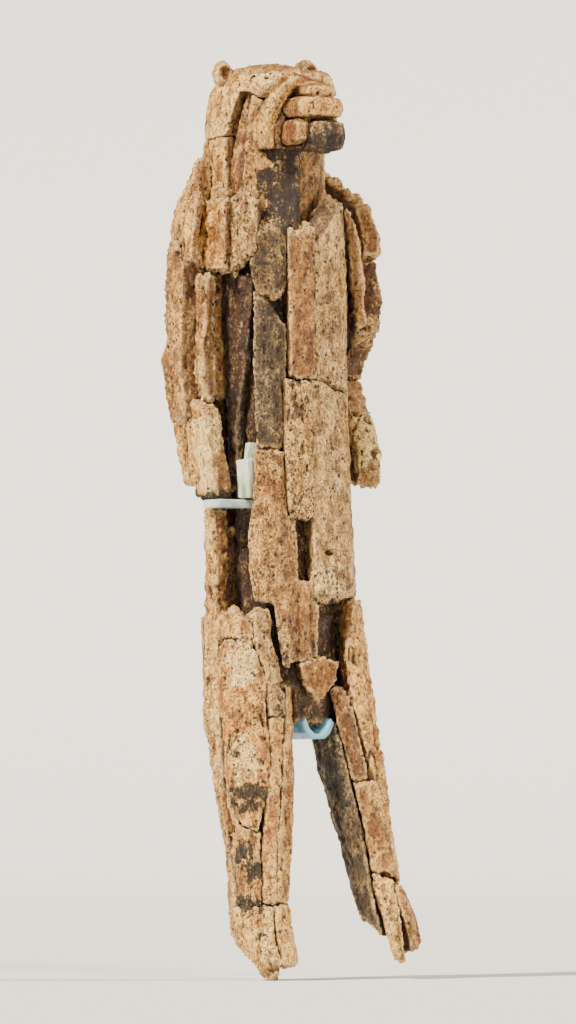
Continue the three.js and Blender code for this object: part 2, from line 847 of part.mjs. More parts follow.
// The part's origin is below the middle of the figure's box, level with its lowest toe.
const part = new THREE.Group();
const figure = buildFigure();
const box = new THREE.Box3().setFromObject(figure);
const middle = box.getCenter(new THREE.Vector3());
figure.position.set(-middle.x, -middle.y, -box.min.z);
part.add(figure);

export default part;
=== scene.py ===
"""Looks for a lion-headed ivory figure put together again from bonded fragments.

The fragments are shaped in millimetres. The floor, the camera and all of Blender are in metres.
"""

import itertools
import math

import bpy
import numpy as np
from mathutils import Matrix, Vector


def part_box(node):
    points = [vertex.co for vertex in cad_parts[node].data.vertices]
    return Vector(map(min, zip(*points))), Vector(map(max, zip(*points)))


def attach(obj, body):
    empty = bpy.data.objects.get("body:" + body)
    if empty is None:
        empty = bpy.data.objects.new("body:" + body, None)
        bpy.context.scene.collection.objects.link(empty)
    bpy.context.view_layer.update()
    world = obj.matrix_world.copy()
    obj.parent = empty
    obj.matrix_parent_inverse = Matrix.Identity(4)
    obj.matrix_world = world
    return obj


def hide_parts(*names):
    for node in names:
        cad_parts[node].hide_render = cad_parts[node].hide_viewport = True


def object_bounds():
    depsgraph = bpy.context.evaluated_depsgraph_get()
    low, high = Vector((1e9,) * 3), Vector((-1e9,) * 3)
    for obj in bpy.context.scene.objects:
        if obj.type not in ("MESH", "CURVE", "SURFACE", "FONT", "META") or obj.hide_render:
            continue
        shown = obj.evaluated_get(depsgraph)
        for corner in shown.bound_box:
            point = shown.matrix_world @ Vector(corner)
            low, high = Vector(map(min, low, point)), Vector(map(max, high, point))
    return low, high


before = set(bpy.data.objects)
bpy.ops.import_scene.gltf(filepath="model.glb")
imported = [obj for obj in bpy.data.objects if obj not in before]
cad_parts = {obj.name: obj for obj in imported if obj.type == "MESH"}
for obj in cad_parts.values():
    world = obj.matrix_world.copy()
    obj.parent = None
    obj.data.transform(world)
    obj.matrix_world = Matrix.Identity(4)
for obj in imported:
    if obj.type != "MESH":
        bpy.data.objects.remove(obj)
CAD_BOX = [list(corner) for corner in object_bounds()]
MM = 0.001

# ---------------------------------------------------------------- noise

LATTICE_SIZE = 32
LATTICE = np.random.default_rng(11).random((LATTICE_SIZE,) * 3)
TURN = np.array(((0.829, 0.559, 0.0), (-0.559, 0.829, 0.0), (0.0, 0.0, 1.0)))


def noise(points, scale, seed):
    """Smooth values from 0 to 1; scale is the number of cells per mm, or one number per axis."""
    places = (points @ TURN) * scale + np.array((7.31, 3.17, 5.93)) * (seed + 1)
    cell = np.floor(places).astype(int)
    t = places - cell
    t = t * t * (3 - 2 * t)
    value = np.zeros(len(points))
    for corner in itertools.product((0, 1), repeat=3):
        weight = np.prod(np.where(corner, t, 1 - t), axis=1)
        i, j, k = ((cell + corner) % LATTICE_SIZE).T
        value += weight * LATTICE[i, j, k]
    return value


def layered(points, scale, seed, octaves=3):
    """Noise with finer and fainter noise added to it."""
    total = sum(0.5**k for k in range(octaves))
    scale = np.asarray(scale, float)
    value = sum(0.5**k * noise(points, scale * 2.1**k, seed + k) for k in range(octaves))
    return value / total


def ramp(values, low, high):
    """A soft step from 0 at low to 1 at high."""
    t = np.clip((values - low) / (high - low), 0, 1)
    return t * t * (3 - 2 * t)


# ---------------------------------------------------------------- fragment meshes


def remeshed(node, voxel):
    """A closed copy of a CAD node's mesh in even small faces."""
    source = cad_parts[node].data
    mesh = bpy.data.meshes.new(node)
    places = [vertex.co[:] for vertex in source.vertices]
    faces = [face.vertices[:] for face in source.polygons]
    mesh.from_pydata(places, [], faces)
    piece = bpy.data.objects.new(node + "_looks", mesh)
    bpy.context.scene.collection.objects.link(piece)
    weld = piece.modifiers.new("weld", "WELD")
    weld.merge_threshold = 0.01 * MM
    grid = piece.modifiers.new("grid", "REMESH")
    grid.mode = "VOXEL"
    grid.voxel_size = voxel * MM
    even = bpy.data.meshes.new_from_object(
        piece.evaluated_get(bpy.context.evaluated_depsgraph_get())
    )
    piece.modifiers.clear()
    piece.data = even
    bpy.data.meshes.remove(mesh)
    return piece


class Surface:
    """The vertices of a piece in mm, with its edges and normals."""

    def __init__(self, piece):
        self.mesh = piece.data
        count = len(self.mesh.vertices)
        self.points = np.empty(count * 3, np.float32)
        self.mesh.vertices.foreach_get("co", self.points)
        self.points = self.points.reshape(-1, 3).astype(float) / MM
        self.edges = np.empty(len(self.mesh.edges) * 2, int)
        self.mesh.edges.foreach_get("vertices", self.edges)
        self.edges = self.edges.reshape(-1, 2)
        self.degree = np.maximum(np.bincount(self.edges.ravel(), minlength=count), 1)

    def store(self):
        self.mesh.vertices.foreach_set("co", (self.points * MM).astype(np.float32).ravel())
        self.mesh.update()

    def normals(self):
        self.store()
        values = np.empty(len(self.points) * 3, np.float32)
        self.mesh.vertex_normals.foreach_get("vector", values)
        return values.reshape(-1, 3).astype(float)

    def smooth(self, values, rounds):
        """Values averaged with their neighbours' along the edges."""
        count = len(self.points)
        a, b = self.edges.T
        columns = values if values.ndim == 2 else values[:, None]
        for _ in range(rounds):
            around = np.stack(
                [
                    np.bincount(a, column[b], count) + np.bincount(b, column[a], count)
                    for column in columns.T
                ],
                axis=1,
            )
            columns = 0.5 * columns + 0.5 * around / self.degree[:, None]
        return columns if values.ndim == 2 else columns[:, 0]

    def keep(self, name, values):
        layer = self.mesh.attributes.new(name, "FLOAT", "POINT")
        layer.data.foreach_set("value", np.asarray(values, np.float32))


# Centre lines of the body and the legs: height, x and y in mm, in the shared frame.
BODY_LINE = ((80, 0, 2), (160, 0, 4), (240, 0, 7), (312, 0, 9))
RIGHT_LEG_LINE = ((0, -21, -20), (30, -21, -13), (78, -18, -3), (162, -15.5, 4))
LEFT_LEG_LINE = ((0, 30, -24), (30, 25, -16), (78, 19, -7.5), (132, 14, 1))

# Words in the names of leg pieces, and how high in mm a piece can reach and still be one.
LEG_WORDS = ("leg", "foot", "thigh")
LEG_TOP = 170


def outward(points, line):
    """Unit directions away from a limb's centre line, level with each point."""
    heights, xs, ys = np.array(line, float).T
    away = points[:, :2] - np.stack(
        [np.interp(points[:, 2], heights, xs), np.interp(points[:, 2], heights, ys)], axis=1
    )
    return away / np.maximum(np.linalg.norm(away, axis=1, keepdims=True), 1e-6)


def line_of(node):
    """The centre line a fragment lies around: the body's, if a leg piece reaches the hip."""
    low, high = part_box(node)
    of_leg = any(word in node for word in LEG_WORDS)
    if node.startswith(("calf", "shin")) or (of_leg and high.z <= LEG_TOP * MM):
        return RIGHT_LEG_LINE if low.x + high.x < 0 else LEFT_LEG_LINE
    return BODY_LINE


# Noise cells per mm along x, y and z, or one number for all three. The tusk's fibre runs up
# the figure, so z has the fewest.
FIBRE = (0.5, 0.5, 0.035)
FINE_FIBRE = (1.3, 1.3, 0.14)
SWELLINGS = (0.09, 0.09, 0.05)
KNOBS = (0.2, 0.2, 0.13)
PITTED_AREAS = (0.11, 0.11, 0.06)
PITS = (0.62, 0.62, 0.4)
SPLITS = (0.22, 0.22, 0.012)
SPLIT_AREAS = (0.05, 0.05, 0.025)
CRUMBS = 0.42
GRIT = 0.95
ZONE_EDGES = 0.3

# Depths in mm at a strength of 1, and how ragged the edge of a dark or pale zone is.
PIT_DEPTH = 1.1
CRACK_DEPTH = 1.2
ZONE_WOBBLE = 1.6


def weathered(node, voxel, seed, look):
    """Turns a CAD fragment into old ivory: grain ridges, drying cracks, pits and torn ends."""
    piece = remeshed(node, voxel)
    surface = Surface(piece)
    surface.points = surface.smooth(surface.points, 1)
    normals = surface.normals()
    start = surface.points.copy()
    away = outward(start, line_of(node))
    facing = np.sum(normals[:, :2] * away, axis=1)
    skin = surface.smooth(ramp(facing, 0.35, 0.75), 2)
    torn = surface.smooth(ramp(np.abs(normals[:, 2]), 0.5, 0.85), 3)
    torn = np.clip(torn, 0, 1) * look["torn"]

    # How far the surface bends out (above 0) or in (below 0) at each point.
    blurred = surface.smooth(start, 12)
    edge = np.clip(np.sum((start - blurred) * normals, axis=1) / (0.55 * voxel), -1, 1.6)
    corner = np.clip(edge, 0, None)

    fibre = layered(start, FIBRE, seed)
    fine = noise(start, FINE_FIBRE, seed + 9)
    broad = noise(start, SWELLINGS, seed + 3)
    knobs = layered(start, KNOBS, seed + 5)
    crumbs = layered(start, CRUMBS, seed + 27, 2)
    grit = layered(start, GRIT, seed + 7, 2)

    rough = look["rough"]
    lumps = 0.8 * (broad - 0.5) + 2.2 * (knobs - 0.5) + 1.3 * (crumbs - 0.5)
    ridges = 0.9 * (fibre - 0.55) + 0.35 * (fine - 0.5)
    rise = look["swell"] + rough * lumps
    rise += (0.15 + 0.85 * rough) * (grit - 0.5)
    rise += look["grain"] * ridges * (0.4 + 0.6 * skin)

    # Pits open in clusters, and long drying cracks follow the fibre, deepest on the skin.
    cluster = ramp(noise(start, PITTED_AREAS, seed + 13), 0.45, 0.7)
    pits = ramp(noise(start, PITS, seed + 15), 0.62, 0.76) * cluster * look["pits"]
    split = noise(start, SPLITS, seed + 17)
    along = ramp(noise(start, SPLIT_AREAS, seed + 19), 0.42, 0.58)
    crack = (1 - ramp(np.abs(split - 0.5), 0.006, 0.04)) * along * look["cracks"]
    open_skin = 0.3 + 0.7 * skin
    hollow = 0.8 * pits + 0.8 * crack * open_skin
    rise -= PIT_DEPTH * pits + CRACK_DEPTH * crack * open_skin

    # Ends are torn and edges are chipped, more in some places than in others.
    chip = ramp(crumbs, 0.5, 0.72)
    rise -= corner * (0.06 + 1.5 * chip) * look["chips"]
    rise += torn * (3.0 * (crumbs - 0.5) + 2.0 * (grit - 0.5) - 0.1)
    for place, half, depth in look["dents"]:
        spot = oval(start, node, place, half)
        rise -= depth * spot
        hollow += min(depth, 1) * spot

    surface.points = start + normals * rise[:, None]
    surface.store()
    marks = {
        "skin": skin,
        "torn": torn * (0.35 + 1.3 * ramp(grit, 0.38, 0.5)),
        "rim": surface.smooth(ramp(edge, 0.25, 1.0), 1),
        # Dark marks: dirt in pits, cracks and dents, and painted shade in concave creases.
        "hollow": hollow + look["creases"] * ramp(-edge, 0.1, 0.6),
        "zone_dark": sum_of(start, node, look["dark"], seed),
        "zone_pale": sum_of(start, node, look["pale"], seed + 1),
    }
    for name, values in marks.items():
        surface.keep(name, np.clip(values, 0, 1))
    finish_mesh(piece, look["faces"])
    return piece


def oval(points, node, place, half, wobble=0.0, seed=0):
    """1 inside an oval, 0 outside; place is in shares of the node's box, half in mm."""
    low, high = (np.array(corner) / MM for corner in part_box(node))
    centre = low + (high - low) * np.array(place)
    inside = np.linalg.norm((points - centre) / np.array(half), axis=1)
    if wobble:
        inside = inside + wobble * (layered(points, ZONE_EDGES, seed + 41) - 0.5)
    return 1 - ramp(inside, 0.6, 1.0)


def sum_of(points, node, zones, seed):
    """How far each point is inside the dark and pale zones of a node: stains, char and bleaching,
    and some painted shade and painted highlights.
    """
    total = np.zeros(len(points))
    for place, half, strength in zones:
        total += strength * oval(points, node, place, half, ZONE_WOBBLE, seed)
    return total


def finish_mesh(piece, share):
    """Fewer faces where the surface is flat, and smooth shading."""
    if share < 1:
        thin = piece.modifiers.new("thin", "DECIMATE")
        thin.ratio = share
        mesh = bpy.data.meshes.new_from_object(
            piece.evaluated_get(bpy.context.evaluated_depsgraph_get())
        )
        old = piece.data
        piece.modifiers.clear()
        piece.data = mesh
        bpy.data.meshes.remove(old)
    piece.data.polygons.foreach_set("use_smooth", [True] * len(piece.data.polygons))


# ---------------------------------------------------------------- materials


def shade(hex_code):
    """A colour written as it looks on screen, in Blender's linear values."""
    values = [int(hex_code[k : k + 2], 16) / 255 for k in (0, 2, 4)]
    return tuple(v / 12.92 if v <= 0.04045 else ((v + 0.055) / 1.055) ** 2.4 for v in values)


class Shader:
    """Short ways to add and join shader nodes."""

    def __init__(self, name):
        self.material = bpy.data.materials.new(name)
        self.material.use_nodes = True
        self.tree = self.material.node_tree
        self.surface = self.tree.nodes["Principled BSDF"]
        place = self.add("ShaderNodeTexCoord")
        self.place = place.outputs["Object"]

    def add(self, kind, **settings):
        node = self.tree.nodes.new(kind)
        for key, value in settings.items():
            setattr(node, key, value)
        return node

    def feed(self, socket, value):
        if isinstance(value, bpy.types.NodeSocket):
            self.tree.links.new(value, socket)
        elif isinstance(value, tuple) and len(value) == 3 and socket.type == "RGBA":
            socket.default_value = (*value, 1)
        else:
            socket.default_value = value

    def stretched(self, scale, shift):
        node = self.add("ShaderNodeMapping")
        self.feed(node.inputs["Vector"], self.place)
        node.inputs["Scale"].default_value = scale
        node.inputs["Location"].default_value = (shift, shift * 0.7, shift * 1.3)
        return node.outputs["Vector"]

    def noise(self, scale, seed, stretch=(1, 1, 1), detail=3.0, roughness=0.55):
        node = self.add("ShaderNodeTexNoise")
        self.feed(node.inputs["Vector"], self.stretched(stretch, seed * 0.37))
        node.inputs["Scale"].default_value = scale
        node.inputs["Detail"].default_value = detail
        node.inputs["Roughness"].default_value = roughness
        return node.outputs["Fac"]

    def pits(self, scale, seed, share, size, warp):
        """Round pits: one cell in every few carries a spot of its own size."""
        node = self.add("ShaderNodeTexVoronoi")
        place = self.add("ShaderNodeVectorMath", operation="ADD")
        self.feed(place.inputs[0], self.stretched((1, 1, 0.8), seed * 0.53))
        wobble = self.add("ShaderNodeVectorMath", operation="SCALE")
        bend = self.add("ShaderNodeTexNoise")
        self.feed(bend.inputs["Vector"], self.place)
        bend.inputs["Scale"].default_value = scale * 1.6
        self.feed(wobble.inputs[0], bend.outputs["Color"])
        wobble.inputs["Scale"].default_value = warp / scale
        self.feed(place.inputs[1], wobble.outputs[0])
        self.feed(node.inputs["Vector"], place.outputs[0])
        node.inputs["Scale"].default_value = scale
        pick = self.add("ShaderNodeSeparateColor")
        self.feed(pick.inputs[0], node.outputs["Color"])
        chosen = self.range(self.minus(share, pick.outputs[0]), 0.0, 0.06)
        reach = self.times(size, self.plus(0.45, pick.outputs[1]))
        spot = self.range(self.minus(reach, node.outputs["Distance"]), -0.05, 0.09)
        return self.times(chosen, spot)

    def range(self, value, low, high, to_low=0.0, to_high=1.0):
        node = self.add("ShaderNodeMapRange", interpolation_type="SMOOTHSTEP")
        self.feed(node.inputs["Value"], value)
        for name, number in zip(
            ("From Min", "From Max", "To Min", "To Max"), (low, high, to_low, to_high)
        ):
            node.inputs[name].default_value = number
        return node.outputs["Result"]

    def times(self, a, b):
        return self.math("MULTIPLY", a, b)

    def plus(self, a, b):
        return self.math("ADD", a, b)

    def minus(self, a, b):
        return self.math("SUBTRACT", a, b)

    def math(self, operation, a, b=0.0):
        node = self.add("ShaderNodeMath", operation=operation)
        self.feed(node.inputs[0], a)
        self.feed(node.inputs[1], b)
        return node.outputs[0]

    def mix(self, factor, a, b, blend="MIX"):
        node = self.add("ShaderNodeMix", data_type="RGBA", blend_type=blend)
        self.feed(node.inputs["Factor"], factor)
        self.feed(node.inputs["A"], a)
        self.feed(node.inputs["B"], b)
        return node.outputs["Result"]

    def mark(self, name):
        node = self.add("ShaderNodeAttribute", attribute_name=name)
        return node.outputs["Fac"]

    def bump(self, height, distance):
        node = self.add("ShaderNodeBump")
        self.feed(node.inputs["Height"], height)
        node.inputs["Distance"].default_value = distance * MM
        node.inputs["Strength"].default_value = 1.0
        return node.outputs["Normal"]


TONES = {  # light, middle and stained skin, then the inner faces
    "cream": ("f7d58c", "d7a654", "945f28", "6f431d"),
    "gold": ("efc273", "c88d3e", "8d5322", "6c3f1a"),
    "grey": ("e2c48d", "bd9658", "80592f", "523621"),
    "beige": ("deb46e", "ad7d3f", "764822", "59371d"),
    "russet": ("b9853d", "8e5c22", "623515", "422416"),
    "olive": ("7d6238", "5c4522", "3a2917", "2b2015"),
    "brown": ("ae8147", "80562c", "57361c", "382215"),
    "ash": ("79674b", "584935", "3c3024", "2f261e"),
    "dark": ("54331f", "382016", "24150f", "1a100b"),
}

# What a dark zone multiplies the colour by: stains, and the painted shadow at the top of the right
# flank; charred flecks; a painted bluish shade and reflected light on the far leg's inner slat.
STAIN_AND_SHADE = "7a5a4c"
CHAR = "353f4e"
BLUISH_SHADE = "8593a3"

TORN_LIGHT = shade("f7deb0")
TORN_WARM = shade("b9804f")
# Pale zones: bleaching, and painted highlight on the eyes and the near forearm's front.
BLEACHED_AND_LIT = shade("ffe7a8")
SPECK = shade("211712")
# Dirt in lines, pits and cracks, and painted shade in concave creases.
DIRT_AND_SHADE = shade("331f14")
PATINA = shade("f6e9cf")


def ivory(node, seed, look):
    """Aged ivory: cream to brown patches, black specks, dark cracks, pale torn ends."""
    s = Shader(node + "_ivory")
    light, middle, stained, inner = (shade(code) for code in TONES[look["tone"]])
    wide = s.noise(45, seed, (1, 1, 0.6), 5, 0.6)
    patch = s.noise(120, seed + 3, (1, 1, 0.7), 5, 0.65)
    blotch = s.noise(330, seed + 4, (1, 1, 0.6), 4, 0.65)
    fibre = s.noise(620, seed + 5, (1, 1, 0.07), 4, 0.6)
    colour = s.mix(s.range(wide, 0.38, 0.62), light, middle)
    stain = s.times(s.range(patch, 0.48, 0.68), look["stain"])
    colour = s.mix(stain, colour, stained)
    mottle = s.times(s.range(blotch, 0.47, 0.62), 0.8 * look["mottle"])
    colour = s.mix(mottle, colour, stained)
    bright = s.times(s.range(blotch, 0.5, 0.38), 0.7 * look["mottle"])
    colour = s.mix(bright, colour, light)
    streak = s.times(s.range(fibre, 0.54, 0.74), 0.22 * look["grain"])
    colour = s.mix(streak, colour, stained)
    pepper = s.noise(1150, seed + 6, (1, 1, 0.8), 5, 0.75)
    flecks = s.times(s.range(pepper, 0.5, 0.64), 0.75 * look["mottle"])
    colour = s.mix(flecks, colour, inner)

    # Inner faces, rims, torn ends, and dark and pale zones as marked on the mesh: stains, char and
    # bleaching, and some painted shade and painted highlights.
    inside = s.range(s.mark("skin"), 0.15, 0.75, 0.8, 0)
    colour = s.mix(inside, colour, inner)
    rim = s.times(s.mark("rim"), look["rim"])
    colour = s.mix(s.times(rim, s.range(blotch, 0.38, 0.55)), colour, TORN_LIGHT)
    grit = s.noise(900, seed + 11, (1, 1, 1), 4, 0.7)
    torn_colour = s.mix(s.range(grit, 0.42, 0.62), TORN_LIGHT, TORN_WARM)
    colour = s.mix(s.times(s.mark("torn"), 0.9), colour, torn_colour)
    ragged = s.times(s.minus(blotch, 0.5), 1.6)
    crumbled = s.times(s.minus(pepper, 0.5), 2.2)
    ragged = s.plus(ragged, crumbled)
    dark = s.range(s.plus(s.mark("zone_dark"), ragged), 0.2, 0.75, 0, 0.95)
    colour = s.mix(dark, colour, shade(look["dark_tone"]), "MULTIPLY")
    pale = s.range(s.minus(s.mark("zone_pale"), ragged), 0.1, 0.9, 0, 0.8)
    colour = s.mix(pale, colour, BLEACHED_AND_LIT)

    # Mineral specks in crowds, drying lines along the fibre, dirt in pits and cracks, and painted
    # shade in concave creases.
    crowd = s.noise(110, seed + 15, (1, 1, 0.7), 4, 0.6)
    some = s.range(crowd, 0.36, 0.62, 0.12, 0.7 * look["specks"])
    marked = s.plus(s.mark("zone_pale"), s.mark("zone_dark"))
    some = s.plus(some, s.times(marked, 0.3))
    coarse = s.pits(look["spots"], seed + 13, s.times(some, 0.55), 0.4, 0.9)
    fine = s.pits(look["spots"] * 2.3, seed + 21, some, 0.42, 0.8)
    speck = s.math("MAXIMUM", coarse, s.times(fine, 0.8))
    colour = s.mix(s.times(speck, 0.94), colour, SPECK)
    split = s.noise(150, seed + 17, (1, 1, 0.04), 4, 0.55)
    line = s.range(s.math("ABSOLUTE", s.minus(split, 0.5)), 0.0, 0.009, 1, 0)
    line = s.times(line, s.range(wide, 0.42, 0.56, 0, look["lines"]))
    colour = s.mix(line, colour, DIRT_AND_SHADE)
    colour = s.mix(s.range(s.mark("hollow"), 0.1, 0.85, 0, 0.94), colour, DIRT_AND_SHADE)
    colour = s.mix(1.0, colour, PATINA, "MULTIPLY")
    s.feed(s.surface.inputs["Base Color"], colour)

    worn = s.plus(s.range(fibre, 0.35, 0.7, 0.46, 0.68), s.times(speck, 0.12))
    s.feed(s.surface.inputs["Roughness"], worn)
    relief = s.times(s.range(fibre, 0.3, 0.75, 1, 0), 0.6)
    relief = s.plus(relief, s.times(grit, 1.1))
    relief = s.minus(relief, s.times(flecks, 0.8))
    relief = s.minus(relief, s.times(speck, 0.7))
    relief = s.minus(relief, line)
    crumbly = s.times(grit, s.mark("torn"))
    relief = s.plus(relief, s.times(crumbly, 1.5))
    s.feed(s.surface.inputs["Normal"], s.bump(relief, 0.4))
    s.surface.inputs["Specular IOR Level"].default_value = 0.45
    return s.material


# ---------------------------------------------------------------- how each fragment looks

# swell and voxel, which is the mesh's cell, are in mm. faces is the share of faces kept, and spots
# is speck cells per metre. The other numbers are strengths. A dent or a zone is a place in shares
# of the node's box, a half size in mm, and a depth in mm or a strength.
PLAIN = {
    "tone": "beige",
    "swell": 0.16,
    "grain": 0.8,
    "rough": 0.7,
    "pits": 0.6,
    "cracks": 0.6,
    "chips": 0.7,
    "torn": 1.0,
    "stain": 0.7,
    "mottle": 1.0,
    "specks": 0.5,
    "lines": 0.6,
    "rim": 0.8,
    "spots": 900,
    "creases": 1.0,
    "dents": (),
    "dark": (),
    "dark_tone": STAIN_AND_SHADE,
    "pale": (),
    "faces": 0.6,
    "voxel": 0.6,
}
# Broad shells of the back and the far side.
HIDDEN = {"voxel": 1.0, "faces": 0.7, "cracks": 1.4, "lines": 1.0, "stain": 0.9}
# Smooth plates of the chest and belly.
PANEL = {"grain": 0.2, "rough": 0.22, "pits": 0.15, "cracks": 0.05, "lines": 0.2, "swell": 0.2}
# Small worn pieces of the face.
FACE = {
    "spots": 1300,
    "rough": 0.28,
    "chips": 0.3,
    "pits": 0.3,
    "cracks": 0.1,
    "torn": 0,
    "voxel": 0.42,
    "faces": 0.7,
}
# Splintered layers of the side, shoulders, arms and legs.
SLAT = {"rough": 1.25, "cracks": 1.0, "pits": 1.0, "chips": 0.9, "stain": 1.0}

ARC_STEPS = 22
ARC_DENT = (0.9, 2.6, 0.42)
ARC_DEPTH = 0.32


def arc(start, end, bottom, top):
    """A hairline crack that curves up across a panel, as a chain of small dents."""
    dents = []
    for step in range(ARC_STEPS + 1):
        t = step / ARC_STEPS
        place = (start + (end - start) * t, 0.45 * t * t, bottom + (top - bottom) * t * t)
        dents.append((place, ARC_DENT, ARC_DEPTH))
    return dents


